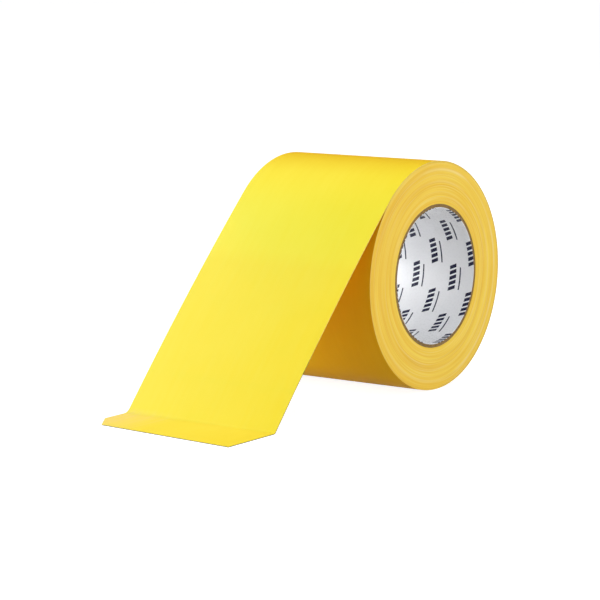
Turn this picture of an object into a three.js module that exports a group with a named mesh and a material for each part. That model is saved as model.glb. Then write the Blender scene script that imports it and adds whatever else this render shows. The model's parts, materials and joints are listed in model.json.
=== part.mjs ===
// A wide roll of cloth-backed adhesive tape on a three inch paper core. Its free end is drawn off the roll,
// slopes down to the surface that the roll stands on, and ends in a tab that lies flat there.
//
// Millimetres. +X runs along the axis of the roll, the free tape runs towards -Y, and +Z is up.
// The origin is on the surface, straight below the middle of the roll.

import * as THREE from 'three';

// Roll
const TAPE_WIDTH = 100;
const WOUND_RADIUS = 64.1; // from the axis to the flats of the wound tape
const ROLL_SIDES = 64; // the roll rests on one of these flats

// Core, from the bore outwards
const BORE_RADIUS = 38.1; // half of three inches
const LINER_THICKNESS = 0.25;
const PLY_THICKNESS = 0.62;
const PLY_NAMES = ['inner', 'middle', 'outer'];
const GLUE_LINE = 0.02; // between neighbouring plies of the core

// Tape, from the adhesive side outwards
const ADHESIVE_THICKNESS = 0.08;
const LAYER_GAP = 0.01;
const BACKING_THICKNESS = 0.22;
const TAPE_THICKNESS = ADHESIVE_THICKNESS + LAYER_GAP + BACKING_THICKNESS;

// Outermost lap: the part of it beside the line where the tape leaves the roll.
// Angles round the roll are in degrees from +Y, rising towards +Z.
const PEEL_ANGLE = 134.2;
const OUTER_LAP_ARC = 64;
const OUTER_LAP_STEPS = 32;
const LAP_CLEARANCE = 0.1; // lets the roll turn under its outermost lap

// Free tape: a shallow arc from the peel line down to the surface. Slopes are in degrees below level.
const PEEL_SLOPE = PEEL_ANGLE - 90;
const LANDING_SLOPE = 48.9;
const SPAN_NAMES = ['upper', 'middle', 'lower'];
const SPAN_STEPS = 6;
const JOINT_GAP = 0.3; // left at each end of a piece that turns

// End tab, measured from the crease. One corner of the cut end is clipped.
const TAB_NEAR_LENGTH = 38.5;
const TAB_FAR_LENGTH = 32.4;
const CLIPPED_WIDTH = 10;
const CLIPPED_LENGTH = 14;

// Colours and roughness of the five materials
const LINER = { color: 0xd9dbe2, roughness: 0.35 };
const KRAFT = { color: 0x96733c, roughness: 0.9 };
const WOUND = { color: 0xe6b84a, roughness: 0.55 };
const BACKING = { color: 0xf5e22f, roughness: 0.45 };
const ADHESIVE = { color: 0xe8d58a, roughness: 0.7 };

const radians = THREE.MathUtils.degToRad;

// The corners of the wound roll stand a little further out than its flats
const woundCorner = WOUND_RADIUS / Math.cos(Math.PI / ROLL_SIDES);
const lapInnerRadius = woundCorner + LAP_CLEARANCE;

// The free tape's underside is an arc of this radius, which reaches the surface at the landing slope
const peelHeight = WOUND_RADIUS + lapInnerRadius * Math.sin(radians(PEEL_ANGLE));
const arcRadius = peelHeight / (Math.cos(radians(PEEL_SLOPE)) - Math.cos(radians(LANDING_SLOPE)));
const arcLength = arcRadius * radians(LANDING_SLOPE - PEEL_SLOPE);

// A point of the outermost lap, as (y, z), at an angle round the roll and a height above its inner face
function outerLapPoint(angle, height) {
  const radius = lapInnerRadius + height;
  const y = radius * Math.cos(radians(angle));
  const z = WOUND_RADIUS + radius * Math.sin(radians(angle));
  return new THREE.Vector2(y, z);
}

// A point of the free tape, as (y, z), at a distance from the peel line and a height above its underside
function freeTapePoint(distance, height) {
  const peel = outerLapPoint(PEEL_ANGLE, 0);
  const start = radians(PEEL_SLOPE);
  const slope = start + distance / arcRadius;
  const y = peel.x - arcRadius * (Math.sin(slope) - Math.sin(start)) - height * Math.sin(slope);
  const z = peel.y - arcRadius * (Math.cos(start) - Math.cos(slope)) + height * Math.cos(slope);
  return new THREE.Vector2(y, z);
}

// Where the upper faces of the sloping tape and of the tab meet, as a distance along Y
function creasePosition() {
  const landing = freeTapePoint(arcLength, 0);
  return landing.x - TAPE_THICKNESS * Math.tan(radians(LANDING_SLOPE / 2));
}

function addNode(parent, name, geometry, finish) {
  const material = new THREE.MeshStandardMaterial({ ...finish, metalness: 0 });
  const mesh = new THREE.Mesh(geometry, material);
  mesh.name = name;
  parent.add(mesh);
}

// A ring round the lathe's own axis, with flats at the given radii
function ringGeometry(innerRadius, outerRadius) {
  const toCorner = 1 / Math.cos(Math.PI / ROLL_SIDES);
  const inner = innerRadius * toCorner;
  const outer = outerRadius * toCorner;
  const end = TAPE_WIDTH / 2;
  const profile = [
    new THREE.Vector2(inner, -end),
    new THREE.Vector2(outer, -end),
    new THREE.Vector2(outer, end),
    new THREE.Vector2(inner, end),
    new THREE.Vector2(inner, -end),
  ];
  const halfSide = Math.PI / ROLL_SIDES;
  return new THREE.LatheGeometry(profile, ROLL_SIDES, halfSide, 2 * Math.PI);
}

// A strip as wide as the tape whose section lies between two heights above the line that pointAt follows
function stripGeometry(pointAt, from, to, steps, lowHeight, highHeight) {
  const stations = Array.from({ length: steps + 1 }, (_, i) => THREE.MathUtils.lerp(from, to, i / steps));
  const lowSide = stations.map((station) => pointAt(station, lowHeight));
  const highSide = stations.map((station) => pointAt(station, highHeight));
  const section = new THREE.Shape([...lowSide, ...highSide.reverse()]);
  const geometry = new THREE.ExtrudeGeometry(section, { depth: TAPE_WIDTH, bevelEnabled: false });
  return geometry.translate(0, 0, -TAPE_WIDTH / 2);
}

// Both layers of a stretch of tape: adhesive below, backing above
function addStrip(parent, name, pointAt, from, to, steps) {
  const backingFoot = ADHESIVE_THICKNESS + LAYER_GAP;
  const adhesive = stripGeometry(pointAt, from, to, steps, 0, ADHESIVE_THICKNESS);
  const backing = stripGeometry(pointAt, from, to, steps, backingFoot, TAPE_THICKNESS);
  addNode(parent, `${name}_adhesive`, adhesive, ADHESIVE);
  addNode(parent, `${name}_backing`, backing, BACKING);
}

// The core's plies and the wound tape, all turning together about the axis of the roll
function buildRoll() {
  const roll = new THREE.Group();
  roll.position.z = WOUND_RADIUS;
  roll.rotation.z = -Math.PI / 2; // the lathe's axis becomes X
  let radius = BORE_RADIUS;
  addNode(roll, 'core_liner', ringGeometry(radius, radius + LINER_THICKNESS), LINER);
  radius += LINER_THICKNESS + GLUE_LINE;
  for (const name of PLY_NAMES) {
    addNode(roll, `core_ply_${name}`, ringGeometry(radius, radius + PLY_THICKNESS), KRAFT);
    radius += PLY_THICKNESS + GLUE_LINE;
  }
  addNode(roll, 'wound_tape', ringGeometry(radius, WOUND_RADIUS), WOUND);
  return roll;
}

// The stretches of tape that have a constant section along X
function buildStrips() {
  const strips = new THREE.Group();
  const alongY = new THREE.Vector3(0, 1, 0);
  const alongZ = new THREE.Vector3(0, 0, 1);
  const alongX = new THREE.Vector3(1, 0, 0);
  const sectionToWorld = new THREE.Matrix4().makeBasis(alongY, alongZ, alongX);
  strips.quaternion.setFromRotationMatrix(sectionToWorld);

  const gapAngle = THREE.MathUtils.radToDeg(JOINT_GAP / lapInnerRadius);
  const lapEnd = PEEL_ANGLE - gapAngle;
  addStrip(strips, 'outer_lap', outerLapPoint, PEEL_ANGLE - OUTER_LAP_ARC, lapEnd, OUTER_LAP_STEPS);

  const spanLength = arcLength / SPAN_NAMES.length;
  SPAN_NAMES.forEach((name, i) => {
    const from = i * spanLength + JOINT_GAP;
    const to = (i + 1) * spanLength - JOINT_GAP;
    addStrip(strips, `tail_${name}`, freeTapePoint, from, to, SPAN_STEPS);
  });
  return strips;
}

// The flat tab at the cut end. Its end is cut a little out of square, and its far corner is clipped.
function buildEndTab() {
  const crease = creasePosition();
  const side = TAPE_WIDTH / 2;
  const outline = new THREE.Shape([
    new THREE.Vector2(side, crease - JOINT_GAP),
    new THREE.Vector2(-side, crease - JOINT_GAP),
    new THREE.Vector2(-side, crease - TAB_FAR_LENGTH + CLIPPED_LENGTH),
    new THREE.Vector2(-side + CLIPPED_WIDTH, crease - TAB_FAR_LENGTH),
    new THREE.Vector2(side, crease - TAB_NEAR_LENGTH),
  ]);
  const layer = (thickness) => new THREE.ExtrudeGeometry(outline, { depth: thickness, bevelEnabled: false });
  const tab = new THREE.Group();
  const backingLevel = new THREE.Group();
  backingLevel.position.z = ADHESIVE_THICKNESS + LAYER_GAP;
  addNode(tab, 'end_tab_adhesive', layer(ADHESIVE_THICKNESS), ADHESIVE);
  addNode(backingLevel, 'end_tab_backing', layer(BACKING_THICKNESS), BACKING);
  tab.add(backingLevel);
  return tab;
}

const tapeRoll = new THREE.Group();
tapeRoll.add(buildRoll());
tapeRoll.add(buildStrips());
tapeRoll.add(buildEndTab());

export default tapeRoll;
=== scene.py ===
import json
import math
import random

import bmesh
import bpy
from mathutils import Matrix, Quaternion, Vector


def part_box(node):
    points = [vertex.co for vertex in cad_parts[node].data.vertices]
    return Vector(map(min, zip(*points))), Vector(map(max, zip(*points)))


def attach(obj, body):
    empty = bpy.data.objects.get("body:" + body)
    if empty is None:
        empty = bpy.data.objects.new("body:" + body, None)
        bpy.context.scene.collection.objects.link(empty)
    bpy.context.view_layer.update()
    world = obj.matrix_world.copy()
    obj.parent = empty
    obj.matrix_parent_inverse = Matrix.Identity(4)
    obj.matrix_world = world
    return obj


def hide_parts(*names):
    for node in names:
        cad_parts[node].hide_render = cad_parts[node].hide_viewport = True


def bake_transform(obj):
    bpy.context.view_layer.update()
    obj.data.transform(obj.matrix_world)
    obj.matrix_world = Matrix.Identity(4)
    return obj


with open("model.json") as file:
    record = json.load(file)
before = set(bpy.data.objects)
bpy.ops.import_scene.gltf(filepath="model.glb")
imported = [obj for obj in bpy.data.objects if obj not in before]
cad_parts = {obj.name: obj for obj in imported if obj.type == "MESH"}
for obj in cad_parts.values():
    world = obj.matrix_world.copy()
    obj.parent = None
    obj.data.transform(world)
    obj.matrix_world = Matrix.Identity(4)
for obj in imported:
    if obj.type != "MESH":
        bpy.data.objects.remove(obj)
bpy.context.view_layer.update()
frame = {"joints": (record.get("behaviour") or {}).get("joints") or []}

# A wide roll of yellow cloth tape on a three inch paper core. Its free end slopes down to the floor and ends
# in a flat tab. Metres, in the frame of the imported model: +X along the axis of the roll, the free tape runs
# towards -Y, and +Z is up. Angles round the roll are from +Y towards +Z.
MM = 0.001

# --------------------------------------------------------------------------------------------------
# Sizes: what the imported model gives, then the few that it has no name for
# --------------------------------------------------------------------------------------------------

joints = {joint["name"]: joint for joint in frame["joints"]}


def pivot(name):
    return Vector(joints[name]["pos_m"])


def half_height(node):
    low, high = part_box(node)
    return (high.z - low.z) / 2


axis = pivot("roll_spin")
peel_top = pivot("tail_lift")
crease_top = pivot("tab_fold")
half_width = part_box("wound_tape")[1].x
wound_radius = half_height("wound_tape")
adhesive_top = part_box("end_tab_adhesive")[1].z
film_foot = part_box("end_tab_backing")[0].z
film_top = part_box("end_tab_backing")[1].z

LINER_THICKNESS = 0.25 * MM
PLY_THICKNESS = 0.62 * MM
PLY_NAMES = ("inner", "middle", "outer")
GLUE_LINE = 0.02 * MM
bore_radius = half_height("core_liner") - LINER_THICKNESS
LAP_ARC = math.radians(62)  # of the outermost lap that is made as part of the strip
TAB_NEAR_LENGTH = 38.5 * MM
TAB_FAR_LENGTH = 32.4 * MM
CLIPPED_WIDTH = 10 * MM
CLIPPED_LENGTH = 14 * MM
NEAR_BEND_RADIUS = 2.2 * MM  # of the crease, on the underside
FAR_BEND_RADIUS = 6 * MM

# The free tape's underside is one shallow arc. It leaves the roll along a tangent and passes the crease.
peel_angle = math.atan2(peel_top.z - axis.z, peel_top.y)
peel_radius = math.hypot(peel_top.y, peel_top.z - axis.z) - film_top
peel_height = axis.z + peel_radius * math.sin(peel_angle)
peel_slope = peel_angle - math.pi / 2
chord_slope = math.atan2(peel_top.z - crease_top.z, peel_top.y - crease_top.y)
landing_slope = 2 * chord_slope - peel_slope
arc_radius = peel_height / (math.cos(peel_slope) - math.cos(landing_slope))
tape_to_crease = arc_radius * (landing_slope - peel_slope)


# --------------------------------------------------------------------------------------------------
# Meshes
# --------------------------------------------------------------------------------------------------

SHARP_EDGE = math.radians(35)


def new_piece(name, points, faces, uvs, materials, face_material):
    """A smooth shaded mesh object that keeps its sharp edges. uvs holds one pair per corner of each face."""
    mesh = bpy.data.meshes.new(name)
    mesh.from_pydata(points, [], faces)
    layer = mesh.uv_layers.new(name="tape")
    for loop, uv in zip(layer.data, (uv for face in uvs for uv in face)):
        loop.uv = uv
    for material in materials:
        mesh.materials.append(material)
    for polygon, index in zip(mesh.polygons, face_material):
        polygon.material_index = index
    body = bmesh.new()
    body.from_mesh(mesh)
    bmesh.ops.recalc_face_normals(body, faces=body.faces)
    for face in body.faces:
        face.smooth = True
    for edge in body.edges:
        edge.smooth = edge.calc_face_angle(0) < SHARP_EDGE
    body.to_mesh(mesh)
    body.free()
    piece = bpy.data.objects.new(name, mesh)
    bpy.context.scene.collection.objects.link(piece)
    return piece


def revolved(name, section_at, segments, unrolled_radius, materials, material_of):
    """A closed ring round the axis of the roll. section_at(turn) lists its section there as (radius, x)
    pairs. Its flat coordinates are right at one radius, unrolled_radius."""
    sections = [section_at(index / segments) for index in range(segments + 1)]
    count = len(sections[0])
    points = []
    for index, section in enumerate(sections[:segments]):
        angle = 2 * math.pi * index / segments
        for radius, x in section:
            points.append((x, radius * math.cos(angle), axis.z + radius * math.sin(angle)))
    faces, uvs, kinds = [], [], []
    for index in range(segments):
        following = (index + 1) % segments
        for corner in range(count):
            beside = (corner + 1) % count
            nearer = (index * count + corner, index * count + beside)
            further = (following * count + beside, following * count + corner)
            faces.append(nearer + further)
            here, there = sections[index], sections[index + 1]
            around = [-2 * math.pi * unrolled_radius * step / segments for step in (index, index + 1)]
            uvs.append(
                (
                    (here[corner][1], around[0]),
                    (here[beside][1], around[0]),
                    (there[beside][1], around[1]),
                    (there[corner][1], around[1]),
                )
            )
            kinds.append(material_of(here[corner], here[beside]))
    return new_piece(name, points, faces, uvs, materials, kinds)


# --------------------------------------------------------------------------------------------------
# Materials
# --------------------------------------------------------------------------------------------------


class Look:
    """A material whose nodes are made by short calls."""

    def __init__(self, name, **constants):
        self.material = bpy.data.materials.new(name)
        self.material.use_nodes = True
        self.tree = self.material.node_tree
        self.shader = self.tree.nodes["Principled BSDF"]
        for socket, value in constants.items():
            self.shader.inputs[socket.replace("_", " ")].default_value = value

    def link(self, source, target):
        self.tree.links.new(source, target)

    def set_inputs(self, node, values):
        for socket, value in values.items():
            target = node.inputs[socket]
            if isinstance(value, bpy.types.NodeSocket):
                self.link(value, target)
            else:
                target.default_value = value

    def node(self, kind, settings=None, inputs=None):
        node = self.tree.nodes.new(kind)
        for name, value in (settings or {}).items():
            setattr(node, name, value)
        self.set_inputs(node, inputs or {})
        return node

    def math(self, operation, first, second=0.0):
        return self.node("ShaderNodeMath", {"operation": operation}, {0: first, 1: second}).outputs[0]

    def uv(self):
        """The piece's own flat coordinates in metres: across the tape, and along it."""
        source = self.node("ShaderNodeUVMap", {"uv_map": "tape"}).outputs[0]
        parts = self.node("ShaderNodeSeparateXYZ", inputs={0: source}).outputs
        return parts[0], parts[1]

    def place(self):
        """The point's coordinates in metres, as a vector and as its three parts."""
        source = self.node("ShaderNodeTexCoord").outputs["Object"]
        return source, self.node("ShaderNodeSeparateXYZ", inputs={0: source}).outputs

    def vector(self, x, y, z=0.0):
        return self.node("ShaderNodeCombineXYZ", inputs={0: x, 1: y, 2: z}).outputs[0]

    def noise(self, vector, scale, detail=2.0, roughness=0.5):
        inputs = {"Vector": vector, "Scale": scale, "Detail": detail, "Roughness": roughness}
        return self.node("ShaderNodeTexNoise", inputs=inputs).outputs[0]

    def spread(self, value, low, high, to_low=0.0, to_high=1.0):
        """value, moved from one range to another and kept inside it."""
        inputs = {"Value": value, "From Min": low, "From Max": high, "To Min": to_low, "To Max": to_high}
        return self.node("ShaderNodeMapRange", {"clamp": True}, inputs).outputs[0]

    def blend(self, share, first, second):
        inputs = {0: share, 6: first, 7: second}
        return self.node("ShaderNodeMix", {"data_type": "RGBA"}, inputs).outputs[2]

    def bump(self, height, distance, strength=1.0, below=None):
        inputs = {"Height": height, "Distance": distance, "Strength": strength}
        if below is not None:
            inputs["Normal"] = below
        return self.node("ShaderNodeBump", inputs=inputs).outputs[0]

    def finish(self, colour=None, roughness=None, normal=None):
        wanted = {"Base Color": colour, "Roughness": roughness, "Normal": normal}
        self.set_inputs(self.shader, {name: source for name, source in wanted.items() if source is not None})
        return self.material

    def let_light_through(self, share, colour):
        """Part of the light that falls on one side leaves on the other, in this colour."""
        passed = self.node("ShaderNodeBsdfTranslucent", inputs={"Color": colour}).outputs[0]
        inputs = {0: share, 1: self.shader.outputs[0], 2: passed}
        mixed = self.node("ShaderNodeMixShader", inputs=inputs).outputs[0]
        self.link(mixed, self.tree.nodes["Material Output"].inputs["Surface"])


# The cloth web inside the tape: the spacing of its threads, across the tape and along it
WARP_PITCH = 0.9 * MM
WEFT_PITCH = 1.25 * MM

# Distances along the tape from the peel line, negative on the roll. Over the laps the film is painted a
# deeper orange, as painted shade. The painted shade fades quickly at first, then slowly until the tape is
# well clear of the roll.
SHADE_COLOUR_END = -50 * MM
QUICK_CHANGE_END = 14 * MM
SLOW_CHANGE_START = -73 * MM
SLOW_CHANGE_END = 40 * MM
LIGHT_PASSES_FROM = -17 * MM
LIGHT_PASSES_FULLY = 50 * MM
FREE_TAPE_SHARE = 0.27  # of the light that falls on the film and is passed on
# Where the painted sheen on the curl of the crease starts and where it is full, along the tape
CREASE_SHEEN_FROM = tape_to_crease - 4 * MM
CREASE_SHEEN_FULLY = tape_to_crease + 5 * MM


def web_threads(look, across, along):
    """A wave for each of the web's two sets of threads."""
    warp = look.math("SINE", look.math("MULTIPLY", across, 2 * math.pi / WARP_PITCH))
    weft = look.math("SINE", look.math("MULTIPLY", along, 2 * math.pi / WEFT_PITCH))
    return warp, weft


def film_look(name, free):
    """Yellow polyethylene film over a cloth web, whose threads show through as a faint grid. Off the roll it
    lets light through."""
    look = Look(name, Specular_IOR_Level=0.02)
    across, along = look.uv()
    warp, weft = web_threads(look, across, along)
    grid = look.math("ADD", look.math("MULTIPLY", warp, 0.6), look.math("MULTIPLY", weft, 0.4))
    flat = look.vector(across, along)
    streaks = look.noise(look.vector(look.math("MULTIPLY", across, 14.0), along), 28.0, 3.0)
    clouds = look.noise(flat, 18.0, 3.0)
    grain = look.noise(flat, 2600.0, 2.0)
    tone = look.math("ADD", look.math("MULTIPLY", clouds, 0.6), look.math("MULTIPLY", streaks, 0.4))
    share = look.spread(tone, 0.35, 0.65)
    to_near_side = look.math("DIVIDE", across, half_width)
    paler = look.spread(look.math("SUBTRACT", share, to_near_side), -1.0, 2.0)
    thin = look.blend(paler, (0.885, 0.875, 0.055, 1), (0.905, 0.945, 0.120, 1))
    # Painted shade: a deeper orange for the film over the laps and near the peel line, standing in for the
    # shade under the free tape
    shade_colour = look.blend(share, (0.86, 0.52, 0.008, 1), (0.89, 0.55, 0.012, 1))
    painted_shade_share = look.spread(along, SHADE_COLOUR_END, QUICK_CHANGE_END, 1.0, 0.0)
    slower = look.spread(along, SLOW_CHANGE_START, SLOW_CHANGE_END, 1.0, 0.0)
    painted_shade_share = look.math("MAXIMUM", painted_shade_share, slower)
    colour = look.blend(painted_shade_share, thin, shade_colour)
    # Painted sheen: a paler patch on the far side of the crease, where its curl catches the light
    crease_sheen = look.spread(across, -half_width, -half_width * 0.3, 1.0, 0.0)
    crease_sheen = look.math("MULTIPLY", crease_sheen, look.spread(along, CREASE_SHEEN_FROM, CREASE_SHEEN_FULLY))
    crease_sheen = look.math("MULTIPLY", crease_sheen, look.spread(streaks, 0.3, 0.7, 0.3, 0.9))
    colour = look.blend(crease_sheen, colour, (0.92, 0.84, 0.36, 1))
    roughness = look.spread(look.math("ADD", grain, clouds), 0.7, 1.3, 0.48, 0.62)
    threads = look.bump(grid, 0.012 * MM, 0.55)
    ripples = look.bump(clouds, 0.35 * MM, 0.25, threads)
    if free:
        passing = look.spread(along, LIGHT_PASSES_FROM, LIGHT_PASSES_FULLY, 0.0, FREE_TAPE_SHARE)
        look.let_light_through(passing, (1.0, 0.41, 0.02, 1))
    else:
        # On the roll all of the film takes the painted shade colour
        colour = shade_colour
    return look.finish(colour, roughness, look.bump(grain, 0.01 * MM, 0.4, ripples))


def bond_look():
    """The faces at which the layers of the free tape are bonded: hidden, and they only pass light on."""
    look = Look("bond_line")
    look.let_light_through(1.0, (1.0, 0.95, 0.8, 1))
    return look.finish()


# Painted highlight rings on the ends of the roll, on laps that catch the light: radius, half the ring's width
# and strength
HIGHLIGHT_RINGS = ((47.0 * MM, 0.7 * MM, 0.25), (52.7 * MM, 1.1 * MM, 0.4), (59.4 * MM, 1.2 * MM, 0.8))
RING_WANDER = 1.6 * MM

# Where the painted light on the ends of the roll starts and where it is full, in Y: towards +Y the highlight
# rings are painted brighter and the rim's painted shade darker. The same for the darker rim, in from the
# outermost lap.
PAINTED_LIGHT_SIDE = (-20 * MM, 30 * MM)
DARK_RIM = (1.1 * MM, 0.3 * MM)


def lap_edges_look():
    """The cut edges of all the laps: yellow film, cream cloth and adhesive in rings that wander a little."""
    look = Look("lap_edges", Specular_IOR_Level=0.2)
    where, parts = look.place()
    height = look.math("SUBTRACT", parts[2], axis.z)
    radius = look.node("ShaderNodeVectorMath", {"operation": "LENGTH"}, {0: look.vector(parts[1], height)})
    radius = radius.outputs["Value"]
    wander = look.math("SUBTRACT", look.noise(where, 14.0, 2.0), 0.5)
    wandering = look.math("ADD", radius, look.math("MULTIPLY", wander, RING_WANDER))

    def rings(per_metre, turns_with_angle, start):
        """Noise in rings, whose strength also changes slowly round the roll."""
        side = look.math("ADD", look.math("MULTIPLY", parts[1], turns_with_angle), start)
        lift = look.math("MULTIPLY", height, turns_with_angle)
        return look.noise(look.vector(look.math("MULTIPLY", wandering, per_metre), side, lift), 1.0, 2.0)

    fine = look.math("MULTIPLY", rings(1700, 14, 0), 0.5)
    broad = look.math("MULTIPLY", rings(170, 14, 5), 0.5)
    tone = look.math("ADD", fine, broad)
    colour = look.blend(look.spread(tone, 0.36, 0.64), (0.875, 0.525, 0.042, 1), (0.965, 0.70, 0.098, 1))
    pale_tone_and_highlight = look.math("MULTIPLY", look.spread(rings(1300, 18, 9), 0.56, 0.68), 0.3)
    patchy_lit_side = look.spread(look.noise(where, 22.0, 2.0), 0.40, 0.62)
    # Painted light: the highlight rings and the rim's painted shade grow towards the +Y side
    lit_side = look.spread(parts[1], *PAINTED_LIGHT_SIDE, 0.25, 1.0)
    patchy_lit_side = look.math("MULTIPLY", patchy_lit_side, lit_side)
    # Painted highlight rings on laps that catch the light
    for ring_radius, half_ring, strength in HIGHLIGHT_RINGS:
        distance = look.math("ABSOLUTE", look.math("SUBTRACT", wandering, ring_radius))
        on_ring = look.math("MULTIPLY", look.spread(distance, 0.0, half_ring, strength, 0.0), patchy_lit_side)
        pale_tone_and_highlight = look.math("MAXIMUM", pale_tone_and_highlight, on_ring)
    colour = look.blend(pale_tone_and_highlight, colour, (0.97, 0.79, 0.33, 1))
    dark = look.math("MULTIPLY", look.spread(rings(1500, 18, 14), 0.57, 0.70), 0.35)
    colour = look.blend(dark, colour, (0.70, 0.39, 0.035, 1))
    # A darker line in from the outermost lap; how it grows towards +Y is painted shade
    rim_start, rim_full = (wound_radius - inset for inset in DARK_RIM)
    rim = look.spread(wandering, rim_start, rim_full, 0.0, 0.45)
    rim = look.math("MULTIPLY", rim, lit_side)
    colour = look.blend(rim, colour, (0.42, 0.33, 0.10, 1))
    threads = look.noise(where, 900.0, 2.0)
    return look.finish(colour, look.spread(tone, 0.3, 0.7, 0.5, 0.75), look.bump(threads, 0.03 * MM, 0.4))


# Where the painted shade of the cut edge starts and where it is full, from the peel line
EDGE_SHADE_FROM = 0.6 * tape_to_crease
EDGE_SHADE_FULLY = 0.75 * tape_to_crease


def cut_edge_look():
    """The single cut edge of the tape, with the threads of its web. Down the slope and along the tab it is
    painted dark, as painted shade.
    """
    look = Look("cut_edge", Specular_IOR_Level=0.25)
    where, _ = look.place()
    _, along = look.uv()
    threads = look.noise(where, 1400.0, 2.0)
    share = look.spread(threads, 0.35, 0.65)
    unshaded = look.blend(share, (0.80, 0.56, 0.10, 1), (0.95, 0.76, 0.24, 1))
    # Painted shade: the dark colour of the lower end of the edge
    edge_shade = look.blend(share, (0.05, 0.035, 0.015, 1), (0.14, 0.10, 0.045, 1))
    colour = look.blend(look.spread(along, EDGE_SHADE_FROM, EDGE_SHADE_FULLY), unshaded, edge_shade)
    return look.finish(colour, look.spread(threads, 0.3, 0.7, 0.6, 0.85), look.bump(threads, 0.02 * MM))


def adhesive_look():
    """Natural rubber adhesive, amber and slightly glossy, with the threads of the web just showing."""
    look = Look("adhesive", Specular_IOR_Level=0.2)
    look.let_light_through(0.45, (1.0, 0.72, 0.20, 1))
    across, along = look.uv()
    flat = look.vector(across, along)
    clouds = look.noise(flat, 40.0, 3.0)
    warp, weft = web_threads(look, across, along)
    grid = look.math("MULTIPLY", warp, weft)
    colour = look.blend(look.spread(clouds, 0.3, 0.7), (0.90, 0.58, 0.14, 1), (0.94, 0.66, 0.20, 1))
    roughness = look.spread(clouds, 0.3, 0.7, 0.35, 0.55)
    return look.finish(colour, roughness, look.bump(grid, 0.02 * MM, 0.5))


def kraft_look():
    """Brown core board: matte, with long fibres."""
    look = Look("kraft_board", Specular_IOR_Level=0.2)
    where, _ = look.place()
    fibres = look.noise(where, 700.0, 4.0, 0.65)
    patches = look.noise(where, 45.0, 2.0)
    tone = look.math("ADD", look.math("MULTIPLY", fibres, 0.7), look.math("MULTIPLY", patches, 0.3))
    colour = look.blend(look.spread(tone, 0.35, 0.65), (0.19, 0.115, 0.040, 1), (0.38, 0.25, 0.10, 1))
    return look.finish(colour, look.spread(fibres, 0.3, 0.7, 0.8, 0.95), look.bump(fibres, 0.05 * MM))


# The liner's print: groups of slanted bars with a thin rule beside them, staggered from column to column
PRINT_ROWS = 8  # groups in one turn
PRINT_COLUMN = 12.6 * MM
FIRST_COLUMN = 8.8 * MM
FIRST_ROW = -8 * MM
GROUP_LENGTH = 15.5 * MM
BAR_COUNT = 5
BAR_WIDTH = 2.1 * MM
BAR_LENGTH = 4.4 * MM
BAR_LEAN = 0.4
RULE_LENGTH = 13 * MM
RULE_WIDTH = 0.85 * MM
RULE_OFFSET = 4.9 * MM


def print_share(look, along, around):
    """1 on the print and 0 beside it. along and around are the liner's flat coordinates."""
    row = 2 * math.pi * bore_radius / PRINT_ROWS
    along = look.math("SUBTRACT", along, FIRST_COLUMN)
    column = look.math("FLOOR", look.math("DIVIDE", along, PRINT_COLUMN))
    around = look.math("ADD", around, look.math("MULTIPLY", column, row / 2))
    around = look.math("SUBTRACT", around, FIRST_ROW)
    a = look.math("SUBTRACT", look.math("FLOORED_MODULO", around, row), row / 2)
    b = look.math("FLOORED_MODULO", along, PRINT_COLUMN)

    def inside(value, middle, width):
        distance = look.math("ABSOLUTE", look.math("SUBTRACT", value, middle))
        return look.math("LESS_THAN", distance, width / 2)

    leaning = look.math("ADD", a, look.math("MULTIPLY", b, BAR_LEAN))
    leaning = look.math("SUBTRACT", leaning, BAR_LENGTH / 2 * BAR_LEAN)
    from_start = look.math("ADD", leaning, GROUP_LENGTH / 2)
    in_pitch = look.math("FLOORED_MODULO", from_start, GROUP_LENGTH / BAR_COUNT)
    stripes = look.math("LESS_THAN", in_pitch, BAR_WIDTH)
    group = look.math("MULTIPLY", inside(leaning, 0.0, GROUP_LENGTH), inside(b, BAR_LENGTH / 2, BAR_LENGTH))
    bars = look.math("MULTIPLY", group, stripes)
    rule_place = BAR_LENGTH / 2 + RULE_OFFSET
    rule = look.math("MULTIPLY", inside(a, 0.0, RULE_LENGTH), inside(b, rule_place, RULE_WIDTH))
    return look.math("MAXIMUM", bars, rule)


def liner_look():
    """Glossy white paper with the print in dark blue."""
    look = Look("liner_paper", Coat_Roughness=0.3, Specular_IOR_Level=0.3)
    along, around = look.uv()
    where, _ = look.place()
    inked = print_share(look, along, around)
    fibres = look.noise(where, 900.0, 2.0)
    sheen = look.noise(where, 30.0, 2.0)
    paper = look.blend(look.spread(sheen, 0.3, 0.7), (0.93, 0.94, 0.96, 1), (0.965, 0.97, 0.985, 1))
    ink = look.blend(look.spread(fibres, 0.3, 0.7), (0.003, 0.004, 0.030, 1), (0.008, 0.011, 0.055, 1))
    colour = look.blend(inked, paper, ink)
    look.link(look.spread(inked, 0.0, 1.0, 0.9, 0.2), look.shader.inputs["Coat Weight"])
    roughness = look.spread(fibres, 0.3, 0.7, 0.24, 0.34)
    return look.finish(colour, roughness, look.bump(sheen, 0.05 * MM, 0.3))


def floor_look(name, grey, glow):
    """A plain matte surface, which may be lit from below too, as a light table is."""
    look = Look(name, Specular_IOR_Level=0.1, Roughness=0.9, Emission_Strength=glow)
    look.shader.inputs["Emission Color"].default_value = (1, 1, 1, 1)
    where, _ = look.place()
    paler = grey + 0.02
    return look.finish(look.blend(look.noise(where, 3.0), (grey, grey, grey, 1), (paler, paler, paler, 1)))


wound_film = film_look("wound_film", False)
film = film_look("free_film", True)
bond = bond_look()
lap_edges = lap_edges_look()
cut_edge = cut_edge_look()
adhesive = adhesive_look()
kraft = kraft_look()
liner_paper = liner_look()


# --------------------------------------------------------------------------------------------------
# Camera, floor and lights
# --------------------------------------------------------------------------------------------------

CAMERA_LENS = 151.3
CAMERA_AZIMUTH = math.radians(36.96)
CAMERA_ELEVATION = math.radians(8.84)
CAMERA_ROLL = math.radians(-0.613)
CAMERA_DISTANCE = 1436 * MM
CAMERA_TARGET = Vector((-27.2, -24.0, 47.1)) * MM


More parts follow.
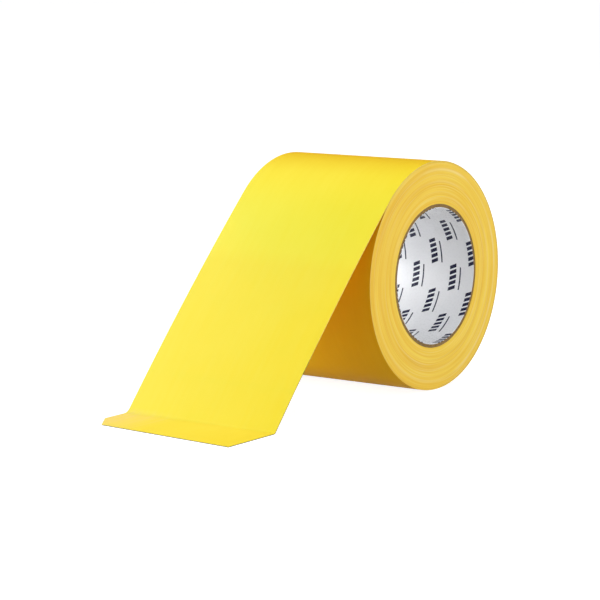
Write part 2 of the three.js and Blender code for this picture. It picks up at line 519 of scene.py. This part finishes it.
def direction(azimuth, elevation):
    """The unit vector towards a place seen at this azimuth, 0 towards -Y and 90 degrees towards +X."""
    flat = math.cos(elevation)
    return Vector((math.sin(azimuth) * flat, -math.cos(azimuth) * flat, math.sin(elevation)))


def place_camera():
    data = bpy.data.cameras.new("camera")
    data.sensor_width = 36
    data.lens = CAMERA_LENS
    data.clip_start = 0.05
    data.clip_end = 200
    camera = bpy.data.objects.new("camera", data)
    back = direction(CAMERA_AZIMUTH, CAMERA_ELEVATION)
    camera.location = CAMERA_TARGET + back * CAMERA_DISTANCE
    camera.rotation_mode = "QUATERNION"
    level = (-back).to_track_quat("-Z", "Y")
    camera.rotation_quaternion = level @ Quaternion((0, 0, 1), CAMERA_ROLL)
    bpy.context.scene.collection.objects.link(camera)
    bpy.context.scene.camera = camera


FLOOR_RADIUS = 40
FLOOR_SEGMENTS = 96
FLOOR_GREY, FLOOR_GLOW = 0.40, 0.9
REFLECTOR_GREY = 0.58
REFLECTOR_DEPTH = 0.2 * MM


def place_disc(name, height, material):
    mesh = bpy.data.meshes.new(name)
    body = bmesh.new()
    bmesh.ops.create_circle(body, cap_ends=True, segments=FLOOR_SEGMENTS, radius=FLOOR_RADIUS)
    body.to_mesh(mesh)
    body.free()
    disc = bpy.data.objects.new(name, mesh)
    disc.location.z = height
    disc.data.materials.append(material)
    bpy.context.scene.collection.objects.link(disc)
    return disc


def place_floor():
    """The floor that the camera sees glows white. A second one just below it only reflects light upwards."""
    floor = place_disc("floor", 0.0, floor_look("pale_floor", FLOOR_GREY, FLOOR_GLOW))
    floor.visible_diffuse = False
    floor.visible_shadow = False
    reflector = place_disc("reflector", -REFLECTOR_DEPTH, floor_look("reflector", REFLECTOR_GREY, 0.0))
    reflector.visible_camera = False
    reflector.visible_glossy = False


SOFTBOX_DISTANCE = 1.7
SOFTBOX_SIZE = (1.4, 1.1)

# name, azimuth and elevation in degrees, power in watts
SOFTBOXES = (
    ("left", -52, 12, 28.5),
    ("right", 90, 10, 19),
    ("high_left", -50, 50, 8),
    ("top", 0, 88, 5),
    ("back", 180, 45, 6),
)
WORLD_LIGHT = 0.24


def softbox(name, azimuth, elevation, power):
    data = bpy.data.lights.new(name, "AREA")
    data.shape = "RECTANGLE"
    data.size, data.size_y = SOFTBOX_SIZE
    data.energy = power
    lamp = bpy.data.objects.new(name, data)
    towards = direction(math.radians(azimuth), math.radians(elevation))
    lamp.location = axis + towards * SOFTBOX_DISTANCE
    lamp.rotation_mode = "QUATERNION"
    lamp.rotation_quaternion = (-towards).to_track_quat("-Z", "Y")
    lamp.visible_camera = False
    bpy.context.scene.collection.objects.link(lamp)


def light_studio():
    for name, azimuth, elevation, power in SOFTBOXES:
        softbox(name, azimuth, elevation, power)
    world = bpy.data.worlds.new("studio")
    world.use_nodes = True
    background = world.node_tree.nodes["Background"]
    background.inputs["Color"].default_value = (1, 1, 1, 1)
    background.inputs["Strength"].default_value = WORLD_LIGHT
    bpy.context.scene.world = world
    bpy.context.scene.view_settings.view_transform = "Standard"
    bpy.context.scene.cycles.diffuse_bounces = 12


# --------------------------------------------------------------------------------------------------
# The roll: liner, plies and wound laps
# --------------------------------------------------------------------------------------------------

CORE_SEGMENTS = 160
LAP_SEGMENTS = 192
LINER_CHAMFER = 0.05 * MM
PLY_CHAMFER = 0.1 * MM
PLY_INSET = 0.12 * MM  # of the plies' ends from the ends of the roll
PLY_WAVE = 0.03 * MM  # how far the plies' cut ends wander, in each of a few waves round the core
WAVES_PER_TURN = (2, 3, 4)


def tube_section(inner, outer, end, edge):
    """The section of a tube from -end to +end whose four corners are cut by edge."""
    corners = []
    for radius, towards in ((inner, 1), (outer, -1)):
        at_ends = [(radius + towards * edge, -end), (radius, -end + edge), (radius, end - edge)]
        at_ends.append((radius + towards * edge, end))
        corners += at_ends if radius == inner else at_ends[::-1]
    return corners


def build_liner():
    section = tube_section(bore_radius, bore_radius + LINER_THICKNESS, half_width, LINER_CHAMFER)
    piece = revolved(
        "printed_liner", lambda turn: section, CORE_SEGMENTS, bore_radius, [liner_paper], lambda a, b: 0
    )
    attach(piece, "roll")
    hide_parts("core_liner")


def build_plies():
    draw = random.Random(3)
    for name in PLY_NAMES:
        node = f"core_ply_{name}"
        outer = half_height(node)
        phases = [draw.uniform(0, 2 * math.pi) for _ in WAVES_PER_TURN]

        def section_at(turn):
            waves = zip(WAVES_PER_TURN, phases)
            wander = sum(math.sin(count * 2 * math.pi * turn + phase) for count, phase in waves)
            end = half_width - PLY_INSET + PLY_WAVE * wander
            return tube_section(outer - PLY_THICKNESS, outer, end, PLY_CHAMFER)

        piece = revolved(f"kraft_ply_{name}", section_at, CORE_SEGMENTS, outer, [kraft], lambda a, b: 0)
        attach(piece, "roll")
        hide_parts(node)


# How each lap strays along the roll: the share of the last lap's drift that it keeps, what it adds, a jitter
DRIFT_KEPT = 0.85
DRIFT_STEP = 0.006 * MM
LAP_JITTER = 0.007 * MM

# Groups of laps that stand proud: where in the depth of the roll they start and end, and how far out
PROUD_LAPS = ((0.52, 0.55, 0.02 * MM), (0.73, 0.77, 0.03 * MM), (0.79, 0.81, 0.03 * MM))
OUTERMOST_WITHIN = 0.01 * MM


def build_wound_laps():
    """All the laps as one body. Their edges show at its ends, and no two laps are wound quite in line."""
    inner = half_height(f"core_ply_{PLY_NAMES[-1]}") + GLUE_LINE
    laps = round((wound_radius - inner) / film_top)
    pitch = (wound_radius - inner) / laps
    draw = random.Random(11)
    drift = [0.0]
    for _ in range(laps + 1):
        drift.append(DRIFT_KEPT * drift[-1] + draw.gauss(0, DRIFT_STEP))
    shift = [value + draw.gauss(0, LAP_JITTER) for value in drift]
    for start, end, step in PROUD_LAPS:
        for lap in range(round(start * laps), round(end * laps)):
            shift[lap] += step

    def edge(turns, end):
        lap = min(int(turns), laps)
        share = turns - int(turns)
        return end * half_width + (1 - share) * shift[lap] + share * shift[lap + 1]

    def radius_at(turns):
        return min(max(inner + pitch * turns, inner), wound_radius)

    def section_at(turn):
        section = []
        for end in (1, -1):
            lands = []
            for lap in range(-1, laps):
                low, high = radius_at(lap + turn), radius_at(lap + 1 + turn)
                x = edge(max(lap + turn, 0), end)
                lands += [(low, x), (high, x)]
            section += lands if end == 1 else lands[::-1]
        return section

    def material_of(a, b):
        outermost = min(a[0], b[0]) > wound_radius - OUTERMOST_WITHIN
        return 0 if outermost and abs(a[1] - b[1]) > half_width else 1

    materials = [wound_film, lap_edges]
    piece = revolved("wound_laps", section_at, LAP_SEGMENTS, wound_radius, materials, material_of)
    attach(piece, "roll")
    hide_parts("wound_tape")


# --------------------------------------------------------------------------------------------------
# The outermost lap and the free tape
# --------------------------------------------------------------------------------------------------
# A station says how far along the strip a point is: -1 to 0 on the lap, 0 to 1 on the slope, 1 to 2 in the
# bend at the crease, and 2 to 3 on the flat tab.

COLUMNS = [index / 5 for index in range(-5, 6)]  # across the tape, in half widths
LAP_GAP = 0.02 * MM  # under the outermost lap, away from the peel line
THIN_END = 0.04  # the share of the tape's thickness that is left where the outermost lap ends
THICKENING = 2.2  # how fast the full thickness comes back, per length of that lap
BEND_TIGHTENING = 1.6  # how fast the crease tightens, per width of the tape


def bend_radius(x):
    """The radius of the crease on the underside. It tightens from the far side to past the middle."""
    share = (x + half_width) / (2 * half_width)
    return FAR_BEND_RADIUS + (NEAR_BEND_RADIUS - FAR_BEND_RADIUS) * min(1.0, share * BEND_TIGHTENING)


def cut_position(x):
    """Where the cut end crosses this line along the tab, in Y."""
    corner = -half_width + CLIPPED_WIDTH
    if x < corner:
        share = (x + half_width) / CLIPPED_WIDTH
        length = TAB_FAR_LENGTH - CLIPPED_LENGTH * (1 - share)
    else:
        share = (x - corner) / (half_width - corner)
        length = TAB_FAR_LENGTH + (TAB_NEAR_LENGTH - TAB_FAR_LENGTH) * share
    return crease_top.y - length


def slope_end(radius):
    """The slope at which the free tape meets a bend of this radius that lands it flat."""
    reach = radius - peel_height + arc_radius * math.cos(peel_slope)
    return math.acos(reach / (arc_radius + radius))


def on_arc(slope):
    """A point of the free tape's underside, as (y, z)."""
    y = peel_radius * math.cos(peel_angle) - arc_radius * (math.sin(slope) - math.sin(peel_slope))
    z = peel_height - arc_radius * (math.cos(peel_slope) - math.cos(slope))
    return y, z


def strip_line(station, x):
    """(y, z, slope, distance from the peel line) on the underside of the strip."""
    if station <= 0:
        angle = peel_angle + station * LAP_ARC
        share = max(0.0, 1 + station)
        radius = wound_radius + LAP_GAP + (peel_radius - wound_radius - LAP_GAP) * share**3
        y, z = radius * math.cos(angle), axis.z + radius * math.sin(angle)
        return y, z, angle - math.pi / 2, station * LAP_ARC * peel_radius
    bend = bend_radius(x)
    last_slope = slope_end(bend)
    slope_length = arc_radius * (last_slope - peel_slope)
    if station <= 1:
        slope = peel_slope + station * (last_slope - peel_slope)
        return *on_arc(slope), slope, station * slope_length
    y, z = on_arc(last_slope)
    if station <= 2:
        slope = last_slope * (2 - station)
        y -= bend * (math.sin(last_slope) - math.sin(slope))
        z = bend * (1 - math.cos(slope))
        return y, z, slope, slope_length + bend * (last_slope - slope)
    y -= bend * math.sin(last_slope)
    run = (y - cut_position(x)) * (station - 2)
    return y - run, 0.0, 0.0, slope_length + bend * last_slope + run


def strip_point(station, x, height):
    y, z, slope, _ = strip_line(station, x)
    # The lap thins out where the rest of it is left to the roll
    height *= min(1.0, THIN_END + (1 + station) * THICKENING)
    return x, y - height * math.sin(slope), z + height * math.cos(slope)


def build_strip(name, stations, low, high, materials):
    """One layer of a stretch of the strip, as a closed solid between two heights above the underside."""
    columns = sorted(COLUMNS + [-1 + CLIPPED_WIDTH / half_width])
    width = len(columns)
    points, flat = [], []
    for height in (low, high):
        for station in stations:
            for column in columns:
                x = column * half_width
                points.append(strip_point(station, x, height))
                flat.append((x, strip_line(station, x)[3]))
    layer = width * len(stations)
    last = len(stations) - 1

    def at(side, row, column):
        return side * layer + row * width + column

    def edge_face(start, end):
        """The face that joins the two sides along one edge, between two (row, column) places."""
        return at(0, *start), at(0, *end), at(1, *end), at(1, *start)

    faces, kinds = [], []
    for row in range(last):
        for column in range(width - 1):
            for side in (0, 1):
                upper = (at(side, row, column), at(side, row, column + 1))
                lower = (at(side, row + 1, column + 1), at(side, row + 1, column))
                faces.append(upper + lower)
                kinds.append(side)
        for column in (0, width - 1):
            faces.append(edge_face((row, column), (row + 1, column)))
            kinds.append(2)
    for row in (0, last):
        for column in range(width - 1):
            faces.append(edge_face((row, column), (row, column + 1)))
            kinds.append(2)
    uvs = [[flat[corner] for corner in face] for face in faces]
    return new_piece(name, points, faces, uvs, materials, kinds)


def steps(start, end, count):
    return [start + (end - start) * index / count for index in range(count + 1)]


def along_slope(point, distance):
    """A point moved down the free tape, in the plane of the roll's section."""
    return point + distance * Vector((0, -math.cos(chord_slope), -math.sin(chord_slope)))


SEAMS = (1 / 6, 1 / 2, 5 / 6)  # where the stretches of the slope meet, as stations
BEND_ZONE = 22 * MM  # each side of a joint in the free tape
PEEL_ZONE = 9 * MM
CREASE_ZONE = 4 * MM


def bend_zone(joint):
    """Where the bending round a joint in the free tape starts and ends."""
    return along_slope(pivot(joint), -BEND_ZONE), along_slope(pivot(joint), BEND_ZONE)


# name, stations, bodies at its two ends, where the bending starts and ends, CAD stretches, how it is held
STRETCHES = (
    (
        "peeling_lap",
        steps(-1, 0, 40) + steps(0, SEAMS[0], 14)[1:],
        ("outer_lap", "tail_upper"),
        (peel_top, along_slope(peel_top, PEEL_ZONE)),
        ("outer_lap",),
        "laid",
    ),
    (
        "upper_slope",
        steps(SEAMS[0], SEAMS[1], 26),
        ("tail_upper", "tail_middle"),
        bend_zone("tail_bend_upper"),
        ("tail_upper",),
        "hung",
    ),
    (
        "lower_slope",
        steps(SEAMS[1], SEAMS[2], 26),
        ("tail_middle", "tail_lower"),
        bend_zone("tail_bend_lower"),
        ("tail_middle",),
        "hung",
    ),
    (
        "landing_tab",
        steps(SEAMS[2], 1, 12) + steps(1, 2, 10)[1:] + steps(2, 3, 16)[1:],
        ("tail_lower", "end_tab"),
        (crease_top, crease_top - Vector((0, CREASE_ZONE, 0))),
        ("tail_lower", "end_tab"),
        "laid",
    ),
)


AREA_LINES = 50  # along which the length of a stretch is measured


def flat_area(stations):
    """The flat area of a stretch: the mean length along its lines, times its width."""
    lines = steps(-half_width, half_width, AREA_LINES)
    lengths = [strip_line(stations[-1], x)[3] - strip_line(stations[0], x)[3] for x in lines]
    return sum((a + b) / 2 for a, b in zip(lengths, lengths[1:])) * 2 * half_width / AREA_LINES


def build_tape():
    for name, stations, (first, second), (start, end), nodes, held in STRETCHES:
        layers = (
            ("film", film_foot, film_top, [bond, film, cut_edge], "backing", "backing_film"),
            ("adhesive", 0.0, adhesive_top, [adhesive, bond, cut_edge], "adhesive", "adhesive"),
        )
        for layer, low, high, materials, cad_layer, slot in layers:
            piece = build_strip(f"{name}_{layer}", stations, low, high, materials)
            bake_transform(piece)
            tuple(start)
            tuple(end)
            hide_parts(*[f"{node}_{cad_layer}" for node in nodes])
        length = max(strip_line(stations[-1], x)[3] for x in (-half_width, 0, half_width))
        length -= strip_line(stations[0], 0)[3]
        min(flat_area(stations), 2 * half_width * length)


place_camera()
place_floor()
light_studio()
build_liner()
build_plies()
build_wound_laps()
build_tape()
